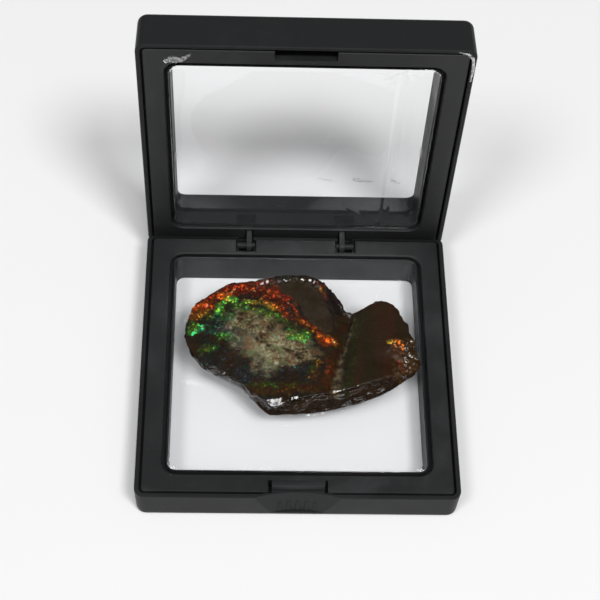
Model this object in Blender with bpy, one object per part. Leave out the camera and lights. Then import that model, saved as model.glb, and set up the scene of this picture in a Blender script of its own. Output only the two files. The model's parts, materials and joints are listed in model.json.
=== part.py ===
# Ammolite specimen lying in an open display box with two clear films.
# Blender 4.5, metres, +Z up. X runs to the right, Y to the back, the box opens at the front.
# The origin is under the middle of the open object, on the surface that it stands on.

import math

import bmesh
import bpy
import numpy as np
from mathutils import Matrix, Vector

MM = 0.001
SHARP_ANGLE = math.radians(28)

# Driving dimensions, in millimetres. Heights are measured from the mating plane,
# the plane in which the two halves of the box meet.

# The box
SIDE = 70.0                 # outer width and depth
CORNER_R = 2.2              # corner radius seen from above
BASE_H = 8.8                # base, from its underside to the mating plane
LID_H = 9.3                 # lid, from the mating plane to its outer face
FACE_EDGE_R = 1.5           # rounding between the side walls and the outer face
DRAFT = 0.2                 # how far the walls draw in on the way to the outer face
RIM_W = 1.0                 # thickness of the outer rim
GAP = 0.3                   # free space between neighbouring pieces
CLOSED_GAP = 0.2            # free space between the halves when shut
EDGE_BREAK = 0.2            # small bevel on the rims
CORNER_STEPS = 5            # segments in each rounded corner
EDGE_STEPS = 4              # segments in the rounding at the outer face

# The seat for the clamp frame and the film
SEAT_DEPTH = 1.9            # floor of the seat
LIP_HALF = 28.1             # half width of the window
LIP_W = 0.45                # thickness of the lip round the window
LIP_TOP = 0.65              # top of the lip
LIP_CORNER_R = 1.9
RING_HALF = 33.5            # clamp frame, outer half width
RING_WINDOW_HALF = 29.3     # clamp frame, half width of its window
RING_WINDOW_R = 3.0
RING_TOP = 0.1
RING_T = 1.5
FILM_HALF = 29.0
FILM_TOP = 0.2
FILM_T = 0.15

# The hinge
AXIS_IN = 1.9               # hinge axis, in from the back face
AXIS_DOWN = 1.9             # hinge axis, below the base's mating plane
OPEN_DEG = 87.8             # how far the lid stands open
PIN_R = 0.8
BORE_R = 1.1
EYE_R = 1.8
ARM_X = 11.0                # middle of each hinge arm
ARM_W = 1.2
HINGE_NOTCH_X = 11.75       # middle of each hinge notch
HINGE_NOTCH_W = 4.8         # width of the notch in the clamp frame
HINGE_SLOT_W = 3.5          # width of the slot in the base, which the pin spans
PIN_ROOT = 0.35             # how far each end of the pin runs into the base
HINGE_NOTCH_FRONT = 30.0    # front wall of the notch, from the middle of the box
HINGE_NOTCH_DEPTH = 4.4
BACK_RIM_DROP = 0.8         # the rim is lower between the two hinges

# The latch
TONGUE_W = 11.3
TONGUE_T = 0.65
TONGUE_FRONT = 33.2         # front face of the tongue, from the middle of the box
TONGUE_H = 3.4
BARB = 0.2
BACKING_W = 15.0            # the rim is thicker behind the finger scoop
BACKING_T = 0.25
LATCH_NOTCH_W = 12.8
LATCH_NOTCH_BACK = 30.7
LATCH_NOTCH_FRONT = 33.6
LATCH_NOTCH_DEPTH = 3.2
LID_POCKET_BACK = 30.9
LID_POCKET_FRONT = 33.9
LID_POCKET_DEPTH = 4.3

# The finger scoop in the front wall
SCOOP_CHORD = 18.7
SCOOP_DEPTH = 1.4
SCOOP_TAPER = 0.7           # how much shallower it is at its lower end
SCOOP_FLOOR = 7.1
SCOOP_STEPS = 16
RIB_COUNT = 5               # small grip ribs on the floor of the scoop
RIB_PITCH = 1.9
RIB_W = 0.6
RIB_H = 0.22
RIB_LOW = 6.5
RIB_HIGH = 3.4

# The specimen
STONE_BOTTOM = 0.1          # its underside, just above the film
STONE_CENTRE = (6.3, 0.2)   # every outline point is in plain sight from here
STONE_COLUMNS = 84          # points round the outline
STONE_RINGS = 15            # rings of points from the edge to the middle
RING_CROWDING = 1.15        # above 1, the rings lie closer together near the edge
EDGE_RINGS = 1.6            # the relief fades out over this many rings near the edge
LEVELLING = 1.6             # how soon the face levels out on its way to the middle
MIDDLE_RISE = 0.5           # middle of the face above the mean height of its edge
DOME = 0.75                 # rise of the iridescent face
SEAM_DEPTH = 0.85           # valley between the face and the right lobe
SEAM_W = 1.5
PLATE_RISE = 0.45           # bare plate of matrix at the back
PLATE_STEEPNESS = 6.0
RIDGE_RISE = 0.5
RIDGE_W = 0.9
LUMP_RISE = 0.55            # crust of lumps at the right end
WALL_ROWS = (0.35, 0.75)    # rows of points on the side wall, as shares of its height
WALL_ROUGH = 0.22           # how far those points stand out or in by chance
WALL_HOLLOW = 0.1

# Outline of the upper edge, clockwise from the left end: x, y and height of the edge.
STONE_EDGE = [
    (-25.1, 4.6, 3.4), (-24.9, 7.7, 3.6), (-23.9, 11.6, 3.9), (-21.9, 13.3, 4.0),
    (-18.7, 15.5, 4.1), (-16.1, 17.5, 4.3), (-12.1, 18.5, 4.3), (-8.7, 18.5, 4.4),
    (-5.6, 19.5, 4.6), (-2.3, 20.0, 4.8), (1.6, 20.0, 4.9), (5.0, 19.3, 4.8),
    (6.6, 16.9, 4.9), (8.2, 15.4, 5.0), (9.6, 13.2, 4.8), (10.8, 10.6, 4.2),
    (12.8, 10.2, 3.9), (14.5, 11.1, 4.0), (16.8, 12.7, 4.2), (20.0, 13.5, 4.3),
    (22.4, 12.6, 4.2), (23.5, 9.7, 4.2), (25.2, 7.0, 4.1), (25.5, 4.4, 4.1),
    (26.8, 3.0, 3.8), (26.9, -0.1, 3.6), (27.7, -2.3, 2.8), (26.3, -4.3, 2.8),
    (23.5, -5.5, 3.4), (21.7, -6.3, 3.8), (16.1, -8.4, 4.1), (10.5, -10.6, 4.2),
    (5.3, -11.7, 4.2), (1.6, -12.5, 4.2), (-4.3, -14.0, 4.0), (-7.7, -13.4, 3.8),
    (-9.4, -11.3, 3.7), (-12.1, -9.0, 3.6), (-15.4, -6.7, 3.5), (-19.1, -4.6, 3.5),
    (-22.0, -3.0, 3.4), (-24.8, 1.4, 3.4),
]

# Foot of the broken front wall, clockwise from the right end: x, y.
# Everywhere else the wall draws in by STONE_UNDERCUT.
STONE_FOOT_FRONT = [
    (26.8, -3.4), (23.8, -5.9), (21.2, -8.0), (16.3, -10.6), (10.7, -12.5), (5.2, -13.9),
    (1.3, -14.4), (-2.8, -14.6), (-6.3, -14.9), (-8.1, -13.2), (-10.5, -9.9), (-14.0, -6.3),
]
STONE_UNDERCUT = 0.7

# The seam runs from the notch in the back edge to the front edge.
SEAM_LINE = [(11.7, 11.0), (11.2, 6.5), (10.4, 1.5), (9.7, -3.5), (8.6, -7.5), (7.9, -12.0)]
# The ridge is the broken inner edge of the bare plate.
RIDGE_LINE = [(4.6, 18.6), (6.2, 15.2), (8.0, 11.4), (9.2, 7.0)]
PLATE_CENTRE = (3.4, 13.6)
PLATE_SPREAD = (5.2, 4.6)
FACE_CENTRE = (-7.0, 3.2)
FACE_HALF = (17.5, 15.0)
LUMPS = [
    (22.6, 2.4, 1.3), (24.4, 1.2, 1.5), (22.9, -0.6, 1.4), (25.3, -1.2, 1.3),
    (23.6, -3.0, 1.3), (25.7, 2.6, 0.9), (21.6, 0.8, 1.0), (26.0, -2.9, 0.9),
]

# Worked out from the driving dimensions
HALF = SIDE / 2
AXIS_Y = HALF - AXIS_IN
LID_MATE = AXIS_DOWN + CLOSED_GAP           # mating plane of the lid above the hinge axis
OPEN = math.radians(OPEN_DEG)
EDGE_CENTRE_OUT = LID_MATE + LID_H - FACE_EDGE_R
EDGE_CENTRE_BACK = AXIS_IN - DRAFT - FACE_EDGE_R
LID_REACH = (AXIS_Y + EDGE_CENTRE_OUT * math.sin(OPEN)
             + EDGE_CENTRE_BACK * math.cos(OPEN) + FACE_EDGE_R)
BASE_Y = -(LID_REACH - HALF) / 2            # sets the middle of the open object on the origin
SCOOP_R = SCOOP_CHORD ** 2 / (8 * SCOOP_DEPTH) + SCOOP_DEPTH / 2


def clear_scene():
    for item in list(bpy.data.objects):
        bpy.data.objects.remove(item, do_unlink=True)


def make_material(name, colour, roughness, alpha=1.0, transmission=0.0):
    material = bpy.data.materials.new(name)
    material.use_nodes = True
    shader = material.node_tree.nodes["Principled BSDF"]
    shader.inputs["Base Color"].default_value = (*colour, 1.0)
    shader.inputs["Roughness"].default_value = roughness
    shader.inputs["Metallic"].default_value = 0.0
    shader.inputs["Alpha"].default_value = alpha
    shader.inputs["Transmission Weight"].default_value = transmission
    material.diffuse_color = (*colour, alpha)
    return material


def make_empty(name, location, rotation=(0.0, 0.0, 0.0), parent=None):
    empty = bpy.data.objects.new(name, None)
    bpy.context.scene.collection.objects.link(empty)
    empty.location = Vector(location) * MM
    empty.rotation_euler = rotation
    empty.parent = parent
    return empty


def make_object(name, bm, parent, material=None):
    """Turns a mesh in millimetres into a named object in metres."""
    bmesh.ops.scale(bm, vec=(MM, MM, MM), verts=bm.verts)
    bmesh.ops.recalc_face_normals(bm, faces=bm.faces)
    mesh = bpy.data.meshes.new(name)
    bm.to_mesh(mesh)
    bm.free()
    mesh.shade_smooth()
    mesh.set_sharp_from_angle(angle=SHARP_ANGLE)
    item = bpy.data.objects.new(name, mesh)
    bpy.context.scene.collection.objects.link(item)
    item.parent = parent
    if material:
        mesh.materials.append(material)
    return item


def rounded_square(half, radius, z):
    """Points of a square with rounded corners, anticlockwise."""
    points = []
    for corner in range(4):
        turn = math.pi / 2 * corner
        middle = (half - radius) * math.sqrt(2)
        cx = middle * math.cos(turn + math.pi / 4)
        cy = middle * math.sin(turn + math.pi / 4)
        for step in range(CORNER_STEPS + 1):
            angle = turn + math.pi / 2 * step / CORNER_STEPS
            points.append((cx + radius * math.cos(angle), cy + radius * math.sin(angle), z))
    return points


def swept_frame(profile):
    """A closed frame: the profile's points (half width, corner radius, z) swept round the square."""
    bm = bmesh.new()
    rings = [[bm.verts.new(p) for p in rounded_square(*point)] for point in profile]
    count = len(rings[0])
    for ring, after in zip(rings, rings[1:] + rings[:1]):
        for i in range(count):
            j = (i + 1) % count
            bm.faces.new((ring[i], ring[j], after[j], after[i]))
    return bm


def plate(half, radius, low, high):
    """A flat sheet with rounded corners."""
    bm = bmesh.new()
    under = [bm.verts.new(p) for p in rounded_square(half, radius, low)]
    upper = [bm.verts.new(p) for p in rounded_square(half, radius, high)]
    bm.faces.new(list(reversed(under)))
    bm.faces.new(upper)
    for i in range(len(under)):
        j = (i + 1) % len(under)
        bm.faces.new((under[i], under[j], upper[j], upper[i]))
    return bm


def box(x0, x1, y0, y1, z0, z1):
    bm = bmesh.new()
    size = Matrix.Diagonal((x1 - x0, y1 - y0, z1 - z0, 1.0))
    middle = Matrix.Translation(((x0 + x1) / 2, (y0 + y1) / 2, (z0 + z1) / 2))
    bmesh.ops.create_cube(bm, size=1.0, matrix=middle @ size)
    return bm


def bar(points, x0, x1):
    """An outline in the Y, Z plane, extruded along X."""
    bm = bmesh.new()
    left = [bm.verts.new((x0, y, z)) for y, z in points]
    right = [bm.verts.new((x1, y, z)) for y, z in points]
    bm.faces.new(left)
    bm.faces.new(list(reversed(right)))
    for i in range(len(left)):
        j = (i + 1) % len(left)
        bm.faces.new((left[j], left[i], right[i], right[j]))
    return bm


def round_bar(radius, y, z, x0, x1, sides):
    points = [(y + radius * math.cos(2 * math.pi * i / sides),
               z + radius * math.sin(2 * math.pi * i / sides)) for i in range(sides)]
    return bar(points, x0, x1)


def shape(target, bm, operation, name, solver):
    """Cuts a shape from the target, or joins it on. The shape itself is only a guide."""
    guide = make_object(f"guide_{target.name}_{name}", bm, target.parent)
    guide.hide_render = True
    guide.display_type = 'WIRE'
    step = target.modifiers.new(name, 'BOOLEAN')
    step.operation = operation
    step.solver = solver
    step.object = guide


def cut(target, bm, name, solver='EXACT'):
    shape(target, bm, 'DIFFERENCE', name, solver)


def join(target, bm, name, solver='EXACT'):
    shape(target, bm, 'UNION', name, solver)


def shell_profile(height, up):
    """Cross-section of one half of the box; up is 1 for the lid and -1 for the base."""
    wall = HALF - DRAFT
    points = [(HALF - EDGE_BREAK, CORNER_R - EDGE_BREAK, 0.0), (HALF, CORNER_R, EDGE_BREAK)]
    for step in range(EDGE_STEPS + 1):
        angle = math.pi / 2 * step / EDGE_STEPS
        inset = FACE_EDGE_R * (1 - math.cos(angle))
        rise = height - FACE_EDGE_R * (1 - math.sin(angle))
        points.append((wall - inset, max(CORNER_R - inset, 0.7), rise))
    points += [
        (LIP_HALF + 0.4, LIP_CORNER_R + 0.4, height),
        (LIP_HALF, LIP_CORNER_R, height - 0.4),
        (LIP_HALF, LIP_CORNER_R, LIP_TOP),
        (LIP_HALF + LIP_W, LIP_CORNER_R + LIP_W, LIP_TOP),
        (LIP_HALF + LIP_W, LIP_CORNER_R + LIP_W, SEAT_DEPTH),
        (HALF - RIM_W, CORNER_R - RIM_W, SEAT_DEPTH),
        (HALF - RIM_W, CORNER_R - RIM_W, 0.15),
        (HALF - RIM_W + 0.15, CORNER_R - RIM_W + 0.15, 0.0),
    ]
    return [(half, radius, up * z) for half, radius, z in points]


def ring_profile(up):
    outer_r = CORNER_R - RIM_W - (HALF - RIM_W - RING_HALF)
    return [
        (RING_HALF - 0.1, outer_r - 0.1, up * RING_TOP),
        (RING_HALF, outer_r, up * (RING_TOP + 0.1)),
        (RING_HALF, outer_r, up * (RING_TOP + RING_T)),
        (RING_WINDOW_HALF, RING_WINDOW_R, up * (RING_TOP + RING_T)),
        (RING_WINDOW_HALF, RING_WINDOW_R, up * (RING_TOP + 0.25)),
        (RING_WINDOW_HALF + 0.25, RING_WINDOW_R + 0.25, up * RING_TOP),
    ]


def hinge_clearance():
    """The corner of the base that the lid's edge turns past: five flats round the axis."""
    flat = AXIS_IN + 0.02
    corner = flat / math.cos(math.radians(11.25))
    reach = 2.9
    side = (flat - reach * math.sin(math.radians(67.5))) / math.cos(math.radians(67.5))
    chain = [(side, reach)]
    for degrees in (56.25, 33.75):
        angle = math.radians(degrees)
        chain.append((corner * math.cos(angle), corner * math.sin(angle)))
    chain += [(reach, side), (reach + 1.0, side), (reach + 1.0, reach + 1.0), (side, reach + 1.0)]
    return [(AXIS_Y + y, z - AXIS_DOWN) for y, z in chain]


def scoop_cutter():
    """A round-backed cutter that is smaller below, so that the scoop is shallower there."""
    bm = bmesh.new()
    top = 1.0
    centre_y = -HALF - SCOOP_R + SCOOP_DEPTH
    widest = math.asin((SCOOP_CHORD / 2 + 2.0) / SCOOP_R)
    rows = []
    for z in (-SCOOP_FLOOR, top):
        radius = SCOOP_R + SCOOP_TAPER * z / SCOOP_FLOOR
        row = [(-SCOOP_CHORD, -HALF - 3.0, z), (SCOOP_CHORD, -HALF - 3.0, z)]
        for step in range(SCOOP_STEPS + 1):
            angle = widest * (1 - 2 * step / SCOOP_STEPS)
            row.append((radius * math.sin(angle), centre_y + radius * math.cos(angle), z))
        rows.append([bm.verts.new(point) for point in row])
    under, upper = rows
    bm.faces.new(list(reversed(under)))
    bm.faces.new(upper)
    for i in range(len(under)):
        j = (i + 1) % len(under)
        bm.faces.new((under[i], under[j], upper[j], upper[i]))
    return bm


def tongue_outline():
    """Side view of the latch tongue, its barb and its foot in the front wall."""
    front = -TONGUE_FRONT
    back = front + TONGUE_T
    return [
        (-HALF + 0.5, -LATCH_NOTCH_DEPTH - 0.2), (back, -LATCH_NOTCH_DEPTH - 0.2),
        (back, TONGUE_H), (front + 0.15, TONGUE_H), (front - BARB, TONGUE_H - 0.6),
        (front - BARB, TONGUE_H - 0.9), (front, TONGUE_H - 1.2), (front, -0.05),
        (-HALF + 0.5, -0.05),
    ]


def arm_outline():
    """Side view of a hinge arm about the hinge axis, with the lid shut."""
    root = LID_MATE + SEAT_DEPTH + 0.3
    points = [(1.6, root), (-2.8, root), (-2.8, LID_MATE + 0.3)]
    for step in range(13):
        angle = math.radians(190 + 180 * step / 12)
        points.append((EYE_R * math.cos(angle), EYE_R * math.sin(angle)))
    return points


def build_base(box_frame, shell_plastic, ring_plastic, film_stuff):
    shell = make_object("base_shell", swept_frame(shell_profile(BASE_H, -1)), box_frame,
                        shell_plastic)
    cut(shell, bar(hinge_clearance(), -HALF - 1, HALF + 1), "hinge_clearance")
    inner = HINGE_NOTCH_X - HINGE_SLOT_W / 2
    cut(shell, box(-inner, inner, RING_HALF + 0.2, HALF + 1, -BACK_RIM_DROP, 1.0), "back_rim")
    for side in (-1, 1):
        x0 = side * HINGE_NOTCH_X - HINGE_SLOT_W / 2
        x1 = side * HINGE_NOTCH_X + HINGE_SLOT_W / 2
        cut(shell, box(x0, x1, HINGE_NOTCH_FRONT, HALF + 1, -HINGE_NOTCH_DEPTH, 1.0),
            f"hinge_slot_{side}")
        join(shell, round_bar(PIN_R, AXIS_Y, -AXIS_DOWN, x0 - PIN_ROOT, x1 + PIN_ROOT, 20),
             f"hinge_pin_{side}")
    half_notch = LATCH_NOTCH_W / 2
    cut(shell, box(-half_notch, half_notch, -LATCH_NOTCH_FRONT, -LATCH_NOTCH_BACK,
                   -LATCH_NOTCH_DEPTH, 1.0), "latch_notch")
    backed = BACKING_W / 2
    join(shell, box(-backed, backed, -HALF + 0.4, -HALF + RIM_W + BACKING_T,
                    -SEAT_DEPTH - 0.2, -0.15), "rim_backing")
    # From here on the cuts cross thin walls, where only this solver keeps the mesh closed.
    join(shell, bar(tongue_outline(), -TONGUE_W / 2, TONGUE_W / 2), "latch_tongue", 'MANIFOLD')
    cut(shell, scoop_cutter(), "finger_scoop", 'MANIFOLD')
    first = -(RIB_COUNT - 1) / 2 * RIB_PITCH
    for i in range(RIB_COUNT):
        x = first + i * RIB_PITCH
        y = -HALF + SCOOP_DEPTH - SCOOP_TAPER * RIB_HIGH / SCOOP_FLOOR - x * x / (2 * SCOOP_R)
        lean = SCOOP_TAPER * (RIB_LOW - RIB_HIGH) / SCOOP_FLOOR
        rib = [(y + 0.6, -RIB_HIGH), (y, -RIB_HIGH), (y - RIB_H, -RIB_HIGH - RIB_H),
               (y - lean - RIB_H, -RIB_LOW + RIB_H), (y - lean, -RIB_LOW), (y + 0.6, -RIB_LOW)]
        join(shell, bar(rib, x - RIB_W / 2, x + RIB_W / 2), f"grip_rib_{i}", 'MANIFOLD')

    ring = make_object("base_ring", swept_frame(ring_profile(-1)), box_frame, ring_plastic)
    for side in (-1, 1):
        x0 = side * HINGE_NOTCH_X - HINGE_NOTCH_W / 2
        x1 = side * HINGE_NOTCH_X + HINGE_NOTCH_W / 2
        cut(ring, box(x0, x1, HINGE_NOTCH_FRONT, HALF, -3.0, 1.0), f"hinge_notch_{side}")
    cut(ring, box(-half_notch, half_notch, -HALF, -LATCH_NOTCH_BACK, -3.0, 1.0), "latch_notch")

    film = plate(FILM_HALF, RING_WINDOW_R - 0.3, -FILM_TOP - FILM_T, -FILM_TOP)
    make_object("base_film", film, box_frame, film_stuff)


def build_lid(hinge, shell_plastic, ring_plastic, film_stuff):
    """The lid is drawn shut, about its hinge axis, and turned open by its parent."""
    def placed(bm):
        bmesh.ops.translate(bm, verts=bm.verts, vec=(0.0, -AXIS_Y, LID_MATE))
        return bm

    shell = make_object("lid_shell", placed(swept_frame(shell_profile(LID_H, 1))), hinge,
                        shell_plastic)
    pocket = LATCH_NOTCH_W / 2 + 0.1
    cut(shell, placed(box(-pocket, pocket, -LID_POCKET_FRONT, -LID_POCKET_BACK,
                          -1.0, LID_POCKET_DEPTH)), "latch_pocket")
    ring = make_object("lid_ring", placed(swept_frame(ring_profile(1))), hinge, ring_plastic)
    cut(ring, placed(box(-pocket, pocket, -HALF, -LID_POCKET_BACK, -1.0, 3.0)), "latch_notch")
    for side in (-1, 1):
        x0 = side * ARM_X - ARM_W / 2
        x1 = side * ARM_X + ARM_W / 2
        join(shell, bar(arm_outline(), x0, x1), f"hinge_arm_{side}")
        cut(shell, round_bar(BORE_R, 0.0, 0.0, x0 - 0.5, x1 + 0.5, 20), f"hinge_bore_{side}")
        cut(ring, placed(box(x0 - GAP, x1 + GAP, AXIS_Y - 2.8 - GAP, HALF, -1.0, 3.0)),
            f"arm_slot_{side}")

    film = placed(plate(FILM_HALF, RING_WINDOW_R - 0.3, FILM_TOP, FILM_TOP + FILM_T))
    make_object("lid_film", film, hinge, film_stuff)


def resample(points, count):
    """Points at equal steps along a closed outline."""
    closed = np.array(points + points[:1], float)
    lengths = np.linalg.norm(np.diff(closed[:, :2], axis=0), axis=1)
    along = np.concatenate([[0.0], np.cumsum(lengths)])
    places = np.linspace(0.0, along[-1], count, endpoint=False)
    return np.stack([np.interp(places, along, closed[:, k]) for k in range(closed.shape[1])], 1)


def distance_to_line(point, line):
    """Distance from a point to the nearest place on a line of points."""
    best = math.inf
    p = np.array(point)
    for a, b in zip(np.array(line[:-1]), np.array(line[1:])):
        run = b - a
        share = np.clip((p - a) @ run / (run @ run), 0.0, 1.0)
        best = min(best, float(np.linalg.norm(p - a - share * run)))
    return best


def stone_relief(x, y):
    """What stands out of the specimen's face, or is sunk in it, away from its edge."""
    u = (x - FACE_CENTRE[0]) / FACE_HALF[0]
    v = (y - FACE_CENTRE[1]) / FACE_HALF[1]
    rise = DOME * max(0.0, 1.0 - u * u - v * v)
    rise -= SEAM_DEPTH * math.exp(-(distance_to_line((x, y), SEAM_LINE) / SEAM_W) ** 2)
    rise += RIDGE_RISE * math.exp(-(distance_to_line((x, y), RIDGE_LINE) / RIDGE_W) ** 2)
    px = (x - PLATE_CENTRE[0]) / PLATE_SPREAD[0]
    py = (y - PLATE_CENTRE[1]) / PLATE_SPREAD[1]
    rise += PLATE_RISE / (1.0 + math.exp(PLATE_STEEPNESS * (px * px + py * py - 1.0)))
    for lx, ly, size in LUMPS:
        gap = math.hypot(x - lx, y - ly) / size
        rise += LUMP_RISE * max(0.0, 1.0 - gap * gap)
    return rise


def foot_of(edge):
    """Foot of the side wall under each point of the upper edge."""
    centre = np.array(STONE_CENTRE)
    front = np.array(STONE_FOOT_FRONT) - centre
    angles = np.arctan2(front[:, 1], front[:, 0])
    order = np.argsort(angles)
    reaches = np.linalg.norm(front, axis=1)
    feet = []
    for x, y, _ in edge:
        away = np.array((x, y)) - centre
        reach = np.linalg.norm(away)
        out = away / reach
        angle = math.atan2(out[1], out[0])
        if angles.min() < angle < angles.max():
            reach = np.interp(angle, angles[order], reaches[order])
        else:
            reach -= STONE_UNDERCUT
        feet.append(centre + out * reach)
    return np.array(feet)


def build_stone(box_frame, stone_stuff):
    """Rows of points from the foot, up the side wall and over the face to the middle."""
    edge = resample(STONE_EDGE, STONE_COLUMNS)
    feet = foot_of(edge)
    centre = np.array(STONE_CENTRE)
    rng = np.random.default_rng(7)
    middle_z = float(edge[:, 2].mean()) + MIDDLE_RISE
    rows = [[(x, y, STONE_BOTTOM) for x, y in feet]]
    for share in WALL_ROWS:
        jag = rng.uniform(-WALL_ROUGH, WALL_ROUGH, STONE_COLUMNS) - WALL_HOLLOW
        row = []
        for foot, upper, out in zip(feet, edge, jag):
            flat = foot + (upper[:2] - foot) * share
            flat += (flat - centre) / np.linalg.norm(flat - centre) * out
            row.append((*flat, STONE_BOTTOM + (upper[2] - STONE_BOTTOM) * share))
        rows.append(row)
    for ring in range(STONE_RINGS):
        share = (ring / STONE_RINGS) ** RING_CROWDING
        inner = 1.0 - math.exp(-(ring / EDGE_RINGS) ** 2)
        row = []
        for x, y, z in edge:
            flat = np.array((x, y)) + (centre - (x, y)) * share
            base_z = z + (middle_z - z) * min(1.0, share * LEVELLING)
            row.append((*flat, base_z + inner * stone_relief(*flat)))
        rows.append(row)
    bm = bmesh.new()
    loops = [[bm.verts.new(p) for p in row] for row in rows]
    top = bm.verts.new((*centre, middle_z + stone_relief(*centre)))
    bottom = bm.verts.new((*centre, STONE_BOTTOM))
    for i in range(STONE_COLUMNS):
        j = (i + 1) % STONE_COLUMNS
        bm.faces.new((bottom, loops[0][i], loops[0][j]))
        for low, high in zip(loops, loops[1:]):
            bm.faces.new((low[i], high[i], high[j], low[j]))
        bm.faces.new((loops[-1][i], top, loops[-1][j]))
    bmesh.ops.triangulate(bm, faces=bm.faces)
    make_object("ammolite", bm, box_frame, stone_stuff)


def build():
    clear_scene()
    shell_plastic = make_material("shell_plastic", (0.018, 0.019, 0.020), 0.42)
    ring_plastic = make_material("ring_plastic", (0.024, 0.025, 0.027), 0.55)
    clear_film = make_material("clear_film", (0.95, 0.96, 0.97), 0.05, 0.2, 1.0)
    stone = make_material("ammolite", (0.075, 0.045, 0.022), 0.25)
    box_frame = make_empty("box_frame", (0.0, BASE_Y, BASE_H))
    hinge = make_empty("lid_hinge_axis", (0.0, BASE_Y + AXIS_Y, BASE_H - AXIS_DOWN),
                       (-OPEN, 0.0, 0.0))
    build_base(box_frame, shell_plastic, ring_plastic, clear_film)
    build_lid(hinge, shell_plastic, ring_plastic, clear_film)
    build_stone(box_frame, stone)


build()
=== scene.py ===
import itertools
import json
import math

import bmesh
import bpy
import numpy as np
from mathutils import Matrix, Vector


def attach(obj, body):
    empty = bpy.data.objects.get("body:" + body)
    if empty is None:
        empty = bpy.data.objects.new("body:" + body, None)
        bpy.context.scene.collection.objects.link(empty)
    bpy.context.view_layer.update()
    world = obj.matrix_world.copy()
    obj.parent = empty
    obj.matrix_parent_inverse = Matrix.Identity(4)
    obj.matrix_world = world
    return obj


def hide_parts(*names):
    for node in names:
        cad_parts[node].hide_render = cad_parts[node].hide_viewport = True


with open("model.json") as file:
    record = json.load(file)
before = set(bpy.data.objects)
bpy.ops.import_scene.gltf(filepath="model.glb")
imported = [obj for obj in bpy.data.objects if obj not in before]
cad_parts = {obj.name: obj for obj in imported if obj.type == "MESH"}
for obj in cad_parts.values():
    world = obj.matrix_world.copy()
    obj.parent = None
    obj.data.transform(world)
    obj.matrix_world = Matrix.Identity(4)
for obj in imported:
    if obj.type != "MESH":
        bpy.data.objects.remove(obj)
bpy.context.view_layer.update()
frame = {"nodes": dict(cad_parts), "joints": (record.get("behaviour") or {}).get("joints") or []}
nodes = frame["nodes"]
hinge = frame["joints"][0]
print("frame loaded:", len(nodes), "nodes")

mm = 0.001
boxSize = {
    "middleY": -4.7502,  # middle of the base, in the row frame
    "mateZ": 8.8,  # where the two halves meet
    "axisToMiddle": 33.1,  # hinge axis to the middle of the lid
    "axisToMate": 2.1,  # hinge axis to the lid's mating plane
    "lipOut": 28.55,  # half width of the lip that the film is stretched over
    "film": 29.0,  # half width of the film
}
baseFrame = Matrix.Translation((0, boxSize["middleY"] * mm, boxSize["mateZ"] * mm))
openAngle = math.radians(hinge["range_deg"][1])
lidFrame = (
    Matrix.Translation(hinge["pos_m"])
    @ Matrix.Rotation(-openAngle, 4, "X")
    @ Matrix.Translation((0, -boxSize["axisToMiddle"] * mm, boxSize["axisToMate"] * mm))
)


# small tools for meshes and numbers

def addObject(name, data):
    obj = bpy.data.objects.new(name, data)
    bpy.context.scene.collection.objects.link(obj)
    return obj


def placeMesh(name, verts, faces, place):
    # verts in mm in the frame of one half of the box
    mesh = bpy.data.meshes.new(name)
    mesh.from_pydata([tuple(v) for v in np.asarray(verts, float) * mm], [], [tuple(f) for f in faces])
    mesh.transform(place)
    mesh.update()
    mesh.shade_smooth()
    return addObject(name, mesh)


def hashed(ix, iy, iz, seed):
    # one fixed random number from 0 to 1 for each whole-number cell
    h = (ix.astype(np.int64) * 73856093) ^ (iy.astype(np.int64) * 19349663)
    h = (h ^ (iz.astype(np.int64) * 83492791) ^ (seed * 7919)) & 0xFFFFFFFF
    h = ((h ^ (h >> 16)) * 0x45D9F3B) & 0xFFFFFFFF
    h = ((h ^ (h >> 16)) * 0x45D9F3B) & 0xFFFFFFFF
    return ((h ^ (h >> 16)) & 0xFFFFFF) / float(0xFFFFFF)


def smoothNoise(p, size, seed=0):
    # soft random heights, -1 to 1, with blobs about `size` across
    q = np.asarray(p, float) / size
    cell = np.floor(q)
    t = q - cell
    t = t * t * t * (t * (t * 6 - 15) + 10)
    cell = cell.astype(np.int64)
    total = np.zeros(len(q))
    for corner in itertools.product((0, 1), repeat=3):
        weight = np.prod([t[:, k] if corner[k] else 1 - t[:, k] for k in range(3)], 0)
        total += weight * hashed(*(cell + corner).T, seed)
    return total * 2 - 1


def layeredNoise(p, size, layers=4, seed=0, rough=0.5):
    total = np.zeros(len(p))
    weight = 1.0
    scale = 0.0
    for i in range(layers):
        total += weight * smoothNoise(p, size / 2 ** i, seed + 31 * i)
        scale += weight
        weight *= rough
    return total / scale


def cellNoise(p, size, seed=0):
    # distance to the nearest and second nearest grain, and the grain's own random number
    q = np.asarray(p, float) / size
    cell = np.floor(q).astype(np.int64)
    near = np.full(len(q), np.inf)
    second = np.full(len(q), np.inf)
    own = np.zeros(len(q))
    for step in itertools.product((-1, 0, 1), repeat=3):
        c = (cell + step).T
        point = np.stack([c[k] + hashed(*c, seed + 5 * k + 1) for k in range(3)], 1)
        gap = np.linalg.norm(point - q, axis=1)
        closer = gap < near
        second = np.where(closer, near, np.minimum(second, gap))
        own = np.where(closer, hashed(*c, seed + 77), own)
        near = np.where(closer, gap, near)
    return near * size, second * size, own


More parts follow.
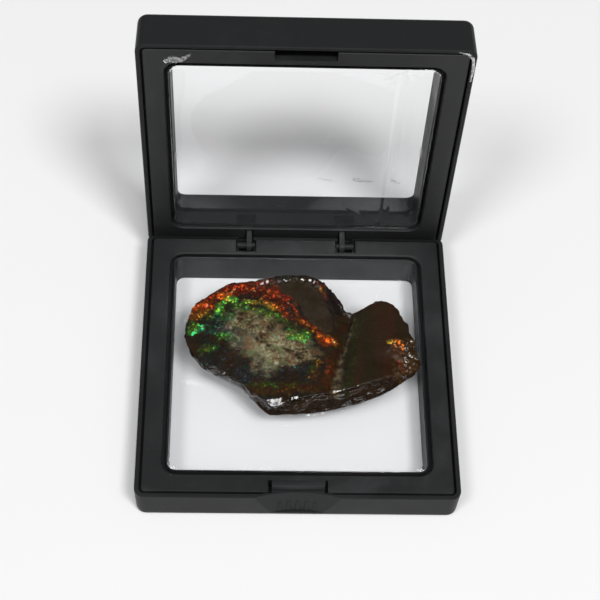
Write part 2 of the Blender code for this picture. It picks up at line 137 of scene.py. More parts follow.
def flattenFacets(p, share, size, seed, tiltX, tiltY):
    # turn the surface into flat facets; tiltX and tiltY give the range of slopes from low to high
    q = np.asarray(p, float)[:, :2] / size
    cell = np.floor(q).astype(np.int64)
    best = np.full(len(q), np.inf)
    found = np.zeros((5, len(q)))
    for step in itertools.product((-1, 0, 1), repeat=2):
        ix, iy = (cell + step).T
        off = q.T - (ix + hashed(ix, iy, ix, seed), iy + hashed(iy, ix, iy, seed + 3))
        gap = np.hypot(*off)
        closer = gap < best
        best = np.where(closer, gap, best)
        slopes = hashed(ix, iy, iy, seed + 7), hashed(ix, iy, ix, seed + 9)
        found = np.where(closer, (*(off * size), *slopes, ix * 4096 + iy), found)
    overX, overY, own, other, key = found
    group = np.unique(key, return_inverse=True)[1]
    weight = np.bincount(group, share) + 1e-9
    level, midX, midY = [(np.bincount(group, share * v) / weight)[group] for v in (p[:, 2], overX, overY)]
    slopeX = tiltX[0] + (tiltX[1] - tiltX[0]) * own
    slopeY = tiltY[0] + (tiltY[1] - tiltY[0]) * other
    return share * (level + slopeX * (overX - midX) + slopeY * (overY - midY) - p[:, 2])


def ease(x, low, high):
    t = np.clip((x - low) / (high - low), 0.0, 1.0)
    return t * t * (3 - 2 * t)


def strokeGap(x, y, points):
    # distance to a line of points
    best = np.full(len(x), np.inf)
    points = np.asarray(points, float)
    for a, b in zip(points[:-1], points[1:]):
        run = b - a
        t = np.clip(((x - a[0]) * run[0] + (y - a[1]) * run[1]) / (run @ run), 0, 1)
        best = np.minimum(best, np.hypot(x - a[0] - t * run[0], y - a[1] - t * run[1]))
    return best


def patchGap(x, y, points):
    # distance to the edge of a closed patch, negative inside
    points = np.asarray(points, float)
    inside = np.zeros(len(x), bool)
    for a, b in zip(points, np.roll(points, -1, 0)):
        crosses = (a[1] > y) != (b[1] > y)
        with np.errstate(divide="ignore", invalid="ignore"):
            at = (b[0] - a[0]) * (y - a[1]) / (b[1] - a[1]) + a[0]
        inside ^= crosses & (x < at)
    gap = strokeGap(x, y, np.vstack([points, points[:1]]))
    return np.where(inside, -gap, gap)


def nearLine(x, y, points, width):
    # 1 on a line of points, fading away beside it
    return np.exp(-(strokeGap(x, y, points) / width) ** 2)


def inPatch(x, y, points, low, high):
    # 1 inside a closed patch, fading to 0 between these distances from its edge
    return 1 - ease(patchGap(x, y, points), low, high)


def readNumbers(items, key, width, kind=float):
    values = np.zeros(len(items) * width, kind)
    items.foreach_get(key, values)
    return values.reshape(-1, width)


def keepNumbers(mesh, name, values):
    layer = mesh.attributes.new(name, "FLOAT", "POINT")
    layer.data.foreach_set("value", np.asarray(values, np.float32))


# small tools for materials

def startMaterial(name):
    mat = bpy.data.materials.new(name)
    mat.use_nodes = True
    return mat, mat.node_tree, mat.node_tree.nodes["Principled BSDF"]


def isSocket(value):
    return isinstance(value, bpy.types.NodeSocket)


def setInputs(tree, node, inputs):
    # link each socket that is given, and set each plain value
    for key, value in inputs.items():
        if isSocket(value):
            tree.links.new(value, node.inputs[key])
        else:
            node.inputs[key].default_value = value


def addNode(tree, kind, inputs=(), **values):
    node = tree.nodes.new("ShaderNode" + kind)
    for key, value in values.items():
        setattr(node, key, value)
    setInputs(tree, node, dict(inputs))
    return node


def rampOf(tree, factor, stops):
    node = addNode(tree, "ValToRGB", {"Fac": factor})
    elements = node.color_ramp.elements
    while len(elements) > len(stops):
        elements.remove(elements[-1])
    while len(elements) < len(stops):
        elements.new(1.0)
    for element, (place, colour) in zip(elements, stops):
        element.position = place
        element.color = (*colour, 1.0)
    return node.outputs["Color"]


def blend(tree, share, a, b):
    a, b = [tone if isSocket(tone) else (*tone, 1.0) for tone in (a, b)]
    return addNode(tree, "Mix", {0: share, 6: a, 7: b}, data_type="RGBA").outputs[2]


def mathOf(tree, kind, a, b=0.0, clamp=False):
    return addNode(tree, "Math", {0: a, 1: b}, operation=kind, use_clamp=clamp).outputs[0]


def times(tree, a, b, clamp=False):
    return mathOf(tree, "MULTIPLY", a, b, clamp=clamp)


def plus(tree, a, b, clamp=False):
    return mathOf(tree, "ADD", a, b, clamp=clamp)


def shareOut(tree, a, shareA, b, shareB):
    return plus(tree, times(tree, a, shareA), times(tree, b, shareB))


def spread(tree, value, low, high, toLow=0.0, toHigh=1.0, smooth=False):
    node = addNode(tree, "MapRange", {0: value, 1: low, 2: high, 3: toLow, 4: toHigh})
    if smooth:
        node.interpolation_type = "SMOOTHSTEP"
    return node.outputs[0]


def placeOf(tree):
    return addNode(tree, "TexCoord").outputs["Object"]


def noiseOf(tree, where, scale, detail=4.0, rough=0.5, warp=0.0):
    inputs = {"Vector": where, "Scale": scale, "Detail": detail, "Roughness": rough, "Distortion": warp}
    return addNode(tree, "TexNoise", inputs).outputs["Fac"]


def grainsOf(tree, where, scale):
    # distance to the middle of each grain, and three random numbers that it has of its own
    node = addNode(tree, "TexVoronoi", {"Vector": where, "Scale": scale})
    own = addNode(tree, "SeparateColor", {"Color": node.outputs["Color"]}).outputs
    return node.outputs["Distance"], own


def markOf(tree, name):
    return addNode(tree, "Attribute", attribute_name=name).outputs["Fac"]


def bumpOf(tree, height, distance, strength):
    inputs = {"Height": height, "Distance": distance, "Strength": strength}
    return addNode(tree, "Bump", inputs).outputs["Normal"]


def stretchOf(tree, where, turn, scale):
    inputs = {"Vector": where, "Rotation": turn, "Scale": scale}
    return addNode(tree, "Mapping", inputs).outputs["Vector"]


# camera and light

view = {
    "place": (-12.44, -197.21, 311.05),
    "lens": 95.44,
    "turn": 3.771,  # roll, degrees
    "back": (-0.03620, -0.56780, 0.82237),
}


def makeCamera():
    back = Vector(view["back"]).normalized()
    right = (-back).cross(Vector((0, 0, 1))).normalized()
    up = right.cross(-back)
    roll = math.radians(view["turn"])
    side = right * math.cos(roll) + up * math.sin(roll)
    top = -right * math.sin(roll) + up * math.cos(roll)
    data = bpy.data.cameras.new("photo_view")
    data.lens = view["lens"]
    data.sensor_width = 36
    data.clip_start = 0.01
    camera = addObject("photo_view", data)
    turn = Matrix((side, top, back)).transposed().to_4x4()
    camera.matrix_world = Matrix.Translation(Vector(view["place"]) * mm) @ turn
    bpy.context.scene.camera = camera


studio = {
    "keyRight": {"from": (0.270, -0.425, 0.864), "power": 31.5, "size": 0.60},
    "keyMiddle": {"from": (0.040, -0.400, 0.915), "power": 13.4, "size": 0.42},
    "keyLeft": {"from": (-0.340, -0.410, 0.846), "power": 17.6, "size": 0.64},
    "distance": 2.4,
    "roomDim": 0.10,  # behind the box
    "roomBright": 0.38,
    "brightFrom": (0.0, -0.50, 0.87),
    "floor": [(0.3, (0.79, 0.79, 0.79)), (0.7, (0.80, 0.80, 0.80))],
}


def makeLights():
    target = Vector((0, -0.004, 0.01))
    for name in ("keyRight", "keyMiddle", "keyLeft"):
        look = studio[name]
        data = bpy.data.lights.new(name, "AREA")
        data.shape = "DISK"
        data.size = look["size"]
        data.energy = look["power"]
        lamp = addObject(name, data)
        direction = Vector(look["from"]).normalized()
        lamp.location = target + direction * studio["distance"]
        lamp.rotation_euler = direction.to_track_quat("Z", "Y").to_euler()
    world = bpy.data.worlds.new("studio")
    bpy.context.scene.world = world
    world.use_nodes = True
    tree = world.node_tree
    where = addNode(tree, "TexCoord").outputs["Generated"]
    facing = addNode(tree, "VectorMath", {0: where, 1: Vector(studio["brightFrom"])},
                     operation="DOT_PRODUCT").outputs["Value"]
    level = spread(tree, facing, 0.42, 0.92, studio["roomDim"], studio["roomBright"], smooth=True)
    setInputs(tree, tree.nodes["Background"], {"Color": level})


def makeFloor():
    bm = bmesh.new()
    bmesh.ops.create_grid(bm, x_segments=8, y_segments=8, size=1.2)
    mesh = bpy.data.meshes.new("floor")
    bm.to_mesh(mesh)
    bm.free()
    floor = addObject("floor", mesh)
    floor.location = (0, 0, -0.00002)
    mat, tree, shader = startMaterial("pale_floor")
    where = placeOf(tree)
    tone = rampOf(tree, noiseOf(tree, where, 9.0, 3.0), studio["floor"])
    setInputs(tree, shader, {"Base Color": tone, "Roughness": 0.9, "Specular IOR Level": 0.1})
    mesh.materials.append(mat)


makeCamera()
makeLights()
makeFloor()
bpy.context.scene.view_settings.view_transform = "Standard"
print("camera, lights and floor ready")


# black plastic

plasticLooks = {
    "shell": {
        "colour": (0.0170, 0.0175, 0.0182),
        "worn": (0.030, 0.031, 0.032),
        # lighter tone painted on the inner back wall as a painted reflection
        "paintedSheen": (0.070, 0.071, 0.072),
        "gloss": (0.30, 0.46),
        "grain": 3600.0,
        "grainHeight": 0.000020,
        "smudge": 0.30,
        "bend": 1.18,  # low, as the fine grain mirrors little
    },
    "ring": {
        "colour": (0.0115, 0.0120, 0.0126),
        "worn": (0.026, 0.027, 0.028),
        # lighter tone painted on the inner back wall as a painted reflection
        "paintedSheen": (0.026, 0.027, 0.028),
        "gloss": (0.38, 0.56),
        "grain": 2600.0,
        "grainHeight": 0.000035,
        "smudge": 0.55,
        "bend": 1.42,
    },
}
# where the inner back wall behind the lower film gets a lighter tone, a painted reflection of the bright
# table, in metres
paintedSheenBounds = {"front": 0.0226, "back": 0.0242, "top": 0.0084, "side": 0.0286, "soft": 0.0004}


# mask of the painted reflection: cloudy patches on the inner back wall behind the lower film
def paintedSheenOnWall(tree, where, clouds):
    x, y, z = addNode(tree, "SeparateXYZ", {"Vector": where}).outputs
    soft = paintedSheenBounds["soft"]
    share = spread(tree, clouds, 0.40, 0.66, 0.55, 1.0)
    for value, edge, way in ((y, "front", 1), (y, "back", -1), (z, "top", -1),
                             (mathOf(tree, "ABSOLUTE", x), "side", -1)):
        share = times(tree, share, spread(tree, value, paintedSheenBounds[edge], paintedSheenBounds[edge] + way * soft))
    return share


def makePlastic(name, look):
    mat, tree, shader = startMaterial(name)
    where = placeOf(tree)
    clouds = noiseOf(tree, where, 70.0, 5.0, 0.6, 0.6)
    smudge = spread(tree, clouds, 0.48, 0.72, 0.0, look["smudge"], smooth=True)
    grit = addNode(tree, "TexVoronoi", {"Vector": where, "Scale": 420.0}).outputs["Distance"]
    specks = spread(tree, grit, 0.0, 0.09, 1.0, 0.0)
    rare = spread(tree, noiseOf(tree, where, 130.0, 2.0), 0.56, 0.62)
    marks = mathOf(tree, "MAXIMUM", smudge, times(tree, specks, rare))
    tone = blend(tree, marks, look["colour"], look["worn"])
    # painted reflection: the inner back wall behind the lower film is lightened in cloudy patches
    tone = blend(tree, paintedSheenOnWall(tree, where, clouds), tone, look["paintedSheen"])
    fine = noiseOf(tree, where, look["grain"], 3.0, 0.6)
    gloss = spread(tree, clouds, 0.35, 0.7, *look["gloss"])
    gloss = plus(tree, gloss, spread(tree, fine, 0.3, 0.7, -0.04, 0.06))
    # fine moulded grain, with a few long handling scratches
    stretched = stretchOf(tree, where, (0.3, 0.9, 0.6), (40.0, 2600.0, 2600.0))
    scratch = spread(tree, noiseOf(tree, stretched, 1.0, 1.0), 0.70, 0.76)
    height = mathOf(tree, "SUBTRACT", fine, times(tree, scratch, 0.5))
    normal = bumpOf(tree, height, look["grainHeight"], 0.6)
    setInputs(tree, shader, {"Base Color": tone, "Roughness": gloss, "Normal": normal, "IOR": look["bend"]})
    return mat


shellPlastic = makePlastic("satin_black_shell", plasticLooks["shell"])
ringPlastic = makePlastic("grained_black_ring", plasticLooks["ring"])
for name, mat in (("base_shell", shellPlastic), ("lid_shell", shellPlastic),
                  ("base_ring", ringPlastic), ("lid_ring", ringPlastic)):
    nodes[name].material_slots[0].material = mat
print("plastic ready")


# clear films

filmLook = {
    "tint": (0.985, 0.99, 0.995),
    "gloss": 0.02,
    "smear": 0.07,  # roughness of the smeary patches
    "steps": 164,  # grid across the film
    "fineAbove": 0.02,  # crumples higher than this get a finer grid
    "corner": 2.0,  # radius of its corners
    "thick": 0.05,
    "behind": 0.24,  # how far it lies behind the mating plane
    "dip": 0.30,  # how much further at its rim
    "waves": 0.030,  # slow waves in the stretched film
    "pucker": 0.16,  # folds at the corners
    "skirt": 0.31,  # how high the film clings to the foot of the stone
    "skirtReach": 0.42,
    "skirtBand": 1.6,
    "skirtCrumple": 0.06,
    "hazeGloss": 0.11,  # the clinging and the crumpled film is a little hazy
    "scrapHaze": 3.5,
}


def makeFilmMaterial():
    mat, tree, shader = startMaterial("clear_film")
    where = placeOf(tree)
    smear = noiseOf(tree, where, 90.0, 4.0, 0.6, 0.8)
    hazy = spread(tree, smear, 0.50, 0.78, filmLook["gloss"], filmLook["smear"], smooth=True)
    haze = times(tree, markOf(tree, "haze"), filmLook["hazeGloss"])
    creases = noiseOf(tree, where, 240.0, 3.0, 0.5, 2.0)
    setInputs(tree, shader, {
        "Base Color": (*filmLook["tint"], 1.0),
        "Roughness": mathOf(tree, "MAXIMUM", hazy, haze),
        "Normal": bumpOf(tree, creases, 0.00002, 0.35),
        "Transmission Weight": 1.0,
        "IOR": 1.30,
    })
    # lamps and bounced light pass straight through, so the film throws no false bright patches
    clear = addNode(tree, "BsdfTransparent", {"Color": (0.975, 0.98, 0.985, 1.0)})
    ray = addNode(tree, "LightPath")
    surface = shader.outputs[0]
    for kind in ("Is Diffuse Ray", "Is Shadow Ray"):
        inputs = {0: ray.outputs[kind], 1: surface, 2: clear.outputs[0]}
        surface = addNode(tree, "MixShader", inputs).outputs[0]
    setInputs(tree, tree.nodes["Material Output"], {"Surface": surface})
    return mat


clearFilm = makeFilmMaterial()


# the ammolite

stoneShape = {
    "voxel": 0.24,
    "seat": 0.28,  # how far the foot settles onto the film
    "crumb": 0.060,  # fine crumbly relief of the face
    "swell": 0.10,  # its slow unevenness
    "plateLift": 0.12,  # how far the bare plate stands up
    "pit": 0.25,  # dark facet beside the plate
    "ridge": 0.30,  # the lines round that facet
    "seamRidge": 0.16,
    "seamGroove": 0.22,
    "chips": 0.30,  # scallops along the rim of the face
    "backCrumb": (0.45, 0.35),  # height of the raised crumbs at the back, and how much it varies
    "lump": (0.35, 0.55, 0.25),  # lumps of the crust: least height, how much it varies, how far they sink
    "wallFlow": 0.42,  # shell-shaped breaks on the side walls
    "wallRidge": 0.16,
    "wallSwirl": 0.12,
    "bedding": 0.10,
    "jag": 0.34,  # how jagged the outline is
}
# small bright facets: size, random seed, and their slopes from side to side and from front to back
rimFacets = {"size": 1.15, "seed": 95, "tiltX": (-0.20, 0.08), "tiltY": (0.46, 0.62)}
crustFacets = {"size": 0.95, "seed": 97, "tiltX": (-0.7, 0.7), "tiltY": (-0.4, 1.1)}

# polished breaks along the rim: start and end on the face, the way that they face, how far they reach
breaks = [
    ((-8.7, -12.5), (-3.2, -12.95), (0.008, -0.460, 0.888), 1.0),
    ((-1.6, -12.2), (0.2, -12.2), (0.02, -0.465, 0.885), 0.5),
    ((7.5, -10.45), (10.5, -10.25), (0.11, -0.475, 0.872), 0.45),
    ((-18.2, -5.0), (-16.0, -6.2), (-0.17, -0.468, 0.867), 0.9),
    ((13.0, -9.4), (14.4, -9.0), (0.12, -0.475, 0.871), 0.6),
]
# steps in the front wall: (x, height) along each, and how far the wall stands out below it
ledges = [
    ([(-2.4, 0.9), (0.0, 1.7), (2.0, 2.5), (4.4, 3.5), (8.0, 2.9), (11.0, 2.5), (13.6, 3.3),
      (16.6, 4.3)], 0.75),
    ([(-10.0, 0.5), (0.0, 0.5), (6.0, 0.6), (9.0, 0.9), (12.0, 1.7), (16.0, 1.7), (20.5, 1.2)], 0.55),
]
# raised crumbs along the back rim
backCrumbs = [
    [(-8.4, 17.6), (-6.9, 17.9)],
    [(-5.2, 18.0), (-2.0, 18.4), (1.2, 18.2)],
    [(3.2, 18.0), (4.6, 16.8)],
]

# outlines of the zones on the face, mm from the middle of the box
barePlate = [(-4.4, 17.1), (-1.8, 18.7), (1.6, 19.0), (3.8, 16.6), (5.8, 14.3), (6.5, 12.1),
             (7.7, 9.1), (8.1, 4.6), (6.0, 4.1), (4.4, 5.5), (1.8, 8.1), (0.6, 11.2), (-1.1, 13.3),
             (-3.1, 14.1)]
darkFacet = [(5.8, 12.3), (7.7, 15.6), (9.3, 13.2), (10.8, 10.3), (9.6, 9.1), (7.8, 9.5), (6.5, 10.9)]
chalkPatch = [(-15.6, 8.7), (-12.3, 8.8), (-7.1, 7.9), (-3.4, 4.8), (-0.5, 2.7), (2.5, 0.5),
              (4.2, -1.7), (0.2, -3.7), (-4.2, -4.4), (-6.6, -5.8), (-9.2, -4.6), (-11.0, -1.6),
              (-13.7, 1.0), (-15.8, 4.4)]
chalkHeart = [(-12.3, 6.5), (-8.6, 5.7), (-4.9, 2.6), (-1.9, 0.4), (-3.8, -3.1), (-6.2, -4.2),
              (-8.6, -1.2), (-11.5, 2.5)]
rustRight = [(7.6, 0.6), (9.2, 5.0), (9.6, 9.1), (10.4, 10.0), (11.0, 6.0), (9.8, 0.6), (8.9, -4.7),
             (7.6, -8.1), (6.2, -9.8), (4.5, -9.0), (6.3, -5.6)]
rustLow = [(-11.8, -10.1), (-7.1, -11.7), (-2.1, -11.2), (3.7, -11.2), (7.3, -11.1), (7.0, -9.0),
           (1.6, -9.1), (-5.6, -8.7), (-10.3, -8.4)]
crustEnd = [(21.2, 1.7), (23.8, 2.6), (26.0, 3.1), (27.0, 0.0), (27.5, -3.5), (27.0, -5.7),
            (24.0, -7.9), (21.5, -6.6), (21.5, -2.7)]
seamPale = [(13.0, 8.9), (12.3, 6.0), (11.3, 2.8), (10.3, -0.3), (9.5, -3.8), (8.9, -6.8),
            (8.3, -9.0), (8.0, -11.1)]
seamGreen = [(14.1, 8.3), (13.2, 4.7), (12.2, 0.6), (11.9, -2.9), (11.4, -7.2), (11.1, -10.6)]
ridgeLines = [[(5.8, 12.1), (7.7, 15.5)], [(7.7, 15.5), (10.8, 10.3)]]

# play of colour: hue (0 deep red, .25 orange, .4 gold, .6 green, .75 teal, .88 blue, 1 violet),
# strength, width, and the line that it follows
fireStrokes = [
    (0.11, 0.86, 2.0, [(-23.4, 10.6), (-20.9, 12.7), (-18.3, 14.4), (-15.7, 16.0), (-12.4, 16.8),
                       (-8.6, 16.2), (-5.2, 15.0), (-3.0, 13.4)]),
    (0.07, 0.60, 2.0, [(-13.5, 16.4), (-10.1, 15.8), (-6.3, 14.6)]),
    (0.19, 1.70, 0.9, [(-23.1, 11.3), (-20.0, 11.9)]),
    (0.23, 1.70, 0.8, [(-17.4, 13.9), (-15.0, 14.7)]),
    (0.14, 0.85, 0.9, [(-7.6, 16.6), (-6.2, 14.8)]),
    (0.36, 0.62, 1.3, [(-23.6, 8.8), (-21.4, 9.6)]),
    (0.50, 0.42, 1.0, [(-20.6, 9.2), (-19.6, 8.8)]),
    (0.46, 0.60, 0.9, [(-11.4, 12.4), (-9.2, 11.8)]),
    (0.36, 0.75, 0.8, [(-8.2, 12.4), (-6.8, 11.6)]),
    (0.22, 0.65, 0.8, [(-5.0, 11.4), (-4.0, 10.2)]),
    (0.38, 1.40, 0.6, [(-6.4, 11.2), (-5.6, 10.6)]),
    (0.10, 0.45, 1.2, [(-5.6, 14.8), (-3.7, 13.2), (-1.9, 10.7)]),
    (0.16, 1.10, 0.60, [(-0.4, 11.2), (0.0, 9.8), (0.3, 8.3)]),
    (0.34, 0.90, 0.5, [(1.2, 6.9), (2.4, 5.6), (4.0, 4.4)]),
    (0.12, 0.55, 1.2, [(-3.2, 9.4), (1.5, 6.8), (4.8, 4.0)]),
    (0.19, 1.80, 0.8, [(5.2, 3.2), (6.4, 2.0)]),
    (0.30, 0.85, 0.7, [(7.0, 2.9), (7.8, 2.0)]),
    (0.56, 1.80, 0.8, [(-16.0, 13.0), (-13.8, 12.7)]),
    (0.61, 1.45, 0.8, [(-16.6, 12.4), (-18.3, 10.3)]),
    (0.60, 0.70, 1.2, [(-13.4, 11.6), (-11.2, 10.2)]),
    (0.68, 2.40, 0.6, [(-23.6, 4.4), (-22.4, 4.9), (-21.1, 5.8)]),
    (0.60, 0.62, 1.2, [(-24.0, 6.2), (-21.9, 5.7)]),
    (0.60, 1.15, 0.7, [(-1.9, 3.2), (0.3, 3.1)]),
    (0.64, 0.55, 0.9, [(1.2, 3.9), (2.6, 2.9)]),
    (0.60, 0.34, 1.6, [(-4.6, 7.3), (-1.2, 4.7), (1.6, 2.0)]),
    (0.56, 0.35, 1.5, [(-11.0, 9.9), (-6.0, 8.7), (-3.5, 7.4)]),
    (0.58, 0.45, 1.1, [(-17.0, 3.2), (-15.3, 2.9)]),
    (0.54, 0.36, 1.2, [(-20.6, -0.6), (-18.8, 0.2)]),
    (0.60, 0.14, 1.3, [(-10.4, -9.2), (-4.6, -9.5), (0.0, -9.0)]),
    (0.66, 0.45, 1.4, [(-18.6, 8.7), (-15.6, 7.8)]),
    (0.84, 0.34, 2.0, [(-19.6, 4.6), (-16.4, 5.8), (-14.0, 3.0)]),
    (0.90, 0.20, 2.4, [(-21.0, -3.4), (-16.6, -1.6), (-13.4, -0.6)]),
    (0.88, 0.22, 1.8, [(-12.9, -5.0), (-10.0, -7.1), (-4.5, -6.4), (2.4, -4.9)]),
    (0.98, 0.60, 0.5, [(-18.7, 8.2), (-18.0, 8.0)]),
    (0.97, 0.30, 0.8, [(-15.6, 4.7), (-14.4, 3.8)]),
    (0.40, 1.80, 0.5, [(21.0, 2.1), (22.0, 1.9)]),
    (0.24, 2.20, 0.7, [(22.4, 1.8), (23.6, 1.3)]),
    (0.10, 0.70, 1.1, [(22.6, -0.8), (23.0, -2.7), (22.8, -4.4)]),
    (0.12, 0.26, 1.1, [(6.6, -3.0), (7.4, -6.0), (6.2, -8.6)]),
    (0.30, 0.20, 1.4, [(4.8, -3.6), (3.2, -6.8)]),
    (0.30, 0.12, 1.2, [(-9.6, -10.6), (-3.0, -11.0), (3.4, -10.2)]),
    (0.12, 0.50, 0.8, [(4.4, 17.4), (6.0, 15.6), (6.2, 14.0)]),
    (0.34, 0.55, 0.5, [(5.0, 15.4), (5.4, 14.4)]),
]


def settleStone():
    mesh = nodes["ammolite"].data.copy()
    stone = addObject("ammolite_detail", mesh)
    remesh = stone.modifiers.new("even", "REMESH")
    remesh.mode = "VOXEL"
    remesh.voxel_size = stoneShape["voxel"] * mm
    bpy.context.view_layer.update()
    fine = bpy.data.meshes.new_from_object(stone.evaluated_get(bpy.context.evaluated_depsgraph_get()))
    stone.modifiers.clear()
    stone.data = fine
    bpy.data.meshes.remove(mesh)
    return stone


def smoothed(points, edges, rounds):
    # move every point halfway to the middle of its neighbours
    count = np.zeros(len(points))
    np.add.at(count, edges[:, 0], 1)
    np.add.at(count, edges[:, 1], 1)
    for _ in range(rounds):
        total = np.zeros_like(points)
        np.add.at(total, edges[:, 0], points[edges[:, 1]])
        np.add.at(total, edges[:, 1], points[edges[:, 0]])
        points = points + 0.5 * (total / count[:, None] - points)
    return points


def normalsOf(mesh, points):
    mesh.vertices.foreach_set("co", (points * mm).ravel())
    mesh.update()
    return readNumbers(mesh.vertex_normals, "vector", 3)


def pastSeam(x, y):
    # how far a point lies to the right of the seam
    return x - (9.4 + 0.16 * (y + 10))


def faceRelief(p, n, top, crust):
    shape = stoneShape
    x, y = p[:, 0], p[:, 1]
    plate = inPatch(x, y, barePlate, -0.5, 0.4)
    lobe = ease(pastSeam(x, y), 0.6, 3.0) * (1 - crust)
    # crumbly, but calm on the bare plate and the right lobe
    near, second, own = cellNoise(p, 0.95, 4)
    crumbs = np.clip((second - near) / 0.5, 0, 1) * 0.6 + own * 0.9 - 0.75
    crumbs = shape["crumb"] * (1.5 * crumbs + 1.6 * layeredNoise(p, 1.6, 3, 8))
    relief = top * (1 - 0.85 * plate) * (1 - 0.75 * lobe) * crumbs
    relief += top * shape["swell"] * layeredNoise(p, 6.0, 2, 15)
    relief += top * shape["plateLift"] * plate
    # worn, chipped rim round the face
    rim = 1 - ease(np.abs(n[:, 2] - 0.55), 0.0, 0.5)
    near, second, own = cellNoise(p, 1.5, 23)
    chips = np.clip(1.1 - near / 0.75, 0, 1) * (own > 0.35)
    chips += 0.5 * np.clip(layeredNoise(p, 1.4, 3, 21), 0, 1)
    relief -= rim * shape["chips"] * chips
    high, more = shape["backCrumb"]
    for line in backCrumbs:
        rise = high + more * layeredNoise(p, 1.2, 2, 27)
        relief += nearLine(x, y, line, 0.9) * ease(n[:, 2], -0.2, 0.4) * rise
    # lumps of resin-like crust at the right end
    lumpy = p + 0.35 * np.stack([layeredNoise(p, 1.3, 2, 13), layeredNoise(p, 1.3, 2, 17), 0 * x], 1)
    near, second, own = cellNoise(lumpy, 1.45, 12)
    high, more, sink = shape["lump"]
    relief += crust * top * ((high + more * own) * np.clip(1 - near ** 2, 0, 1) - sink)
    # the small pit and ridge lines beside the plate, and the seam
    for line in ridgeLines:
        relief += top * shape["ridge"] * nearLine(x, y, line, 0.28)
    relief -= top * shape["pit"] * inPatch(x, y, darkFacet, -0.3, 0.3)
    relief += top * shape["seamRidge"] * nearLine(x, y, seamPale, 0.45)
    relief -= top * shape["seamGroove"] * nearLine(x + 0.8, y, seamPale, 0.5)
    return relief


def wallRelief(p, n):
    # shell-shaped breaks and bedding steps
    shape = stoneShape
    x, z = p[:, 0], p[:, 2]
    flow = p * (0.42, 0.42, 1.0)
    swirl = layeredNoise(flow, 1.5, 3, 33)
    ridges = 1 - np.abs(smoothNoise(flow + swirl[:, None] * 0.5, 1.25, 35)) * 2
    own = cellNoise(p * (0.5, 0.5, 0.9) + swirl[:, None] * 0.6, 1.7, 41)[2]
    relief = shape["wallFlow"] * (own - 0.5) + shape["wallRidge"] * ridges + shape["wallSwirl"] * swirl
    jag = smoothNoise(p * (1, 1, 0.35), 2.1, 45) + 0.6 * smoothNoise(p * (1, 1, 0.5), 0.9, 47)
    relief += shape["jag"] * jag + shape["bedding"] * smoothNoise(p * (0.12, 0.12, 2.2), 1.0, 51)
    for line, depth in ledges:
        at = np.array(line)
        level = np.interp(x, *at.T) + 0.22 * layeredNoise(p * (1, 0, 0), 1.7, 2, 55)
        share = ease(x, at[0, 0], at[0, 0] + 1.8) * (1 - ease(x, at[-1, 0] - 1.8, at[-1, 0]))
        share = share * ease(-n[:, 1], 0.1, 0.4)
        relief += share * depth * (0.5 - ease(z, level - depth * 0.32, level + depth * 0.32))
    return relief


def carveStone(stone):
    mesh = stone.data
    mesh.transform(baseFrame.inverted())
    p = readNumbers(mesh.vertices, "co", 3) / mm
    p = smoothed(p, readNumbers(mesh.edges, "vertices", 2, np.int64), 5)
    n = normalsOf(mesh, p)
    x, y = p[:, 0], p[:, 1]
    top = ease(n[:, 2], 0.35, 0.75)
    under = ease(-n[:, 2], 0.3, 0.7)
    wall = np.clip(1 - top - under, 0, 1)
    crust = inPatch(x, y, crustEnd, -0.4, 0.8)
    relief = faceRelief(p, n, top, crust) + wall * wallRelief(p, n) - 0.02 * under
    relief *= ease(p[:, 2], 0.25, 1.0)
    # bright facets along the back rim and in the crust, most of them turned a little to the front
    gap = np.min([strokeGap(x, y, line) for line in backCrumbs], 0)
    crumbed = (1 - ease(gap, 0.7, 1.1)) * ease(n[:, 2], 0.25, 0.5)
    glassy = crust * top * ease(x, 23.2, 24.4)
    p = p + n * relief[:, None]
    p[:, 2] += flattenFacets(p, crumbed, **rimFacets)
    p[:, 2] += flattenFacets(p, glassy, **crustFacets)
    p, cut = shaveBreaks(p, n)
    cut = np.clip(cut + crumbed + 0.9 * glassy, 0, 1)
    p[:, 2] -= stoneShape["seat"] * ease(1.4 - p[:, 2], 0.0, 1.2)
    n = normalsOf(mesh, p)
    mesh.transform(baseFrame)
    mesh.update()
    mesh.shade_smooth()
    return p, n, cut


def shaveBreaks(p, n):
    # flat polished cuts that drop from the face to the wall
    face = n[:, 2] > 0.6
    cut = np.zeros(len(p))
    for start, end, way, reach in breaks:
        start, end = np.array(start), np.array(end)
        way = np.array(way) / np.linalg.norm(way)
        middle = (start + end) / 2
        half = np.linalg.norm(end - start) / 2
        off = p[:, :2] - middle
        level = np.median(p[face & (np.hypot(*off.T) < 0.6), 2])
        along = off @ (end - start) / (2 * half)
        aside = off @ way[:2]
        over = (p - (*middle, level)) @ way + 0.035 * layeredNoise(p, 1.1, 2, 91)
        over += 0.12 * (along / half) ** 2  # bowed a little along its length, as a chip is
        reached = np.where(over > 0, aside > -0.2, (aside > 0.1) & (aside < reach))
        share = (1 - ease(np.abs(along), half * 0.8, half * 1.25)) * ease(p[:, 2], 0.8, 1.6)
        share = share * reached * (np.hypot(along, aside) < half + 3)
        p = p - way * (over * ease(over, -0.65, -0.30) * share)[:, None]
        cut = np.maximum(cut, share * ease(over, -0.40, -0.25))
    return p, cut


def footOf(p):
    # the outline of the stone where it meets the film
    low = p[p[:, 2] < 1.0]
    middle = np.array([4.0, 2.0])  # every point of the outline is in plain sight from here
    out = low[:, :2] - middle
    turn = np.arctan2(out[:, 1], out[:, 0])
    far = np.hypot(out[:, 0], out[:, 1])
    steps = 96
    ring = []
    for k in range(steps):
        near = np.abs(np.angle(np.exp(1j * (turn - 2 * math.pi * k / steps)))) < math.pi / steps
        if near.any():
            ring.append(middle + out[near][np.argmax(far[near])])
    return np.array(ring)


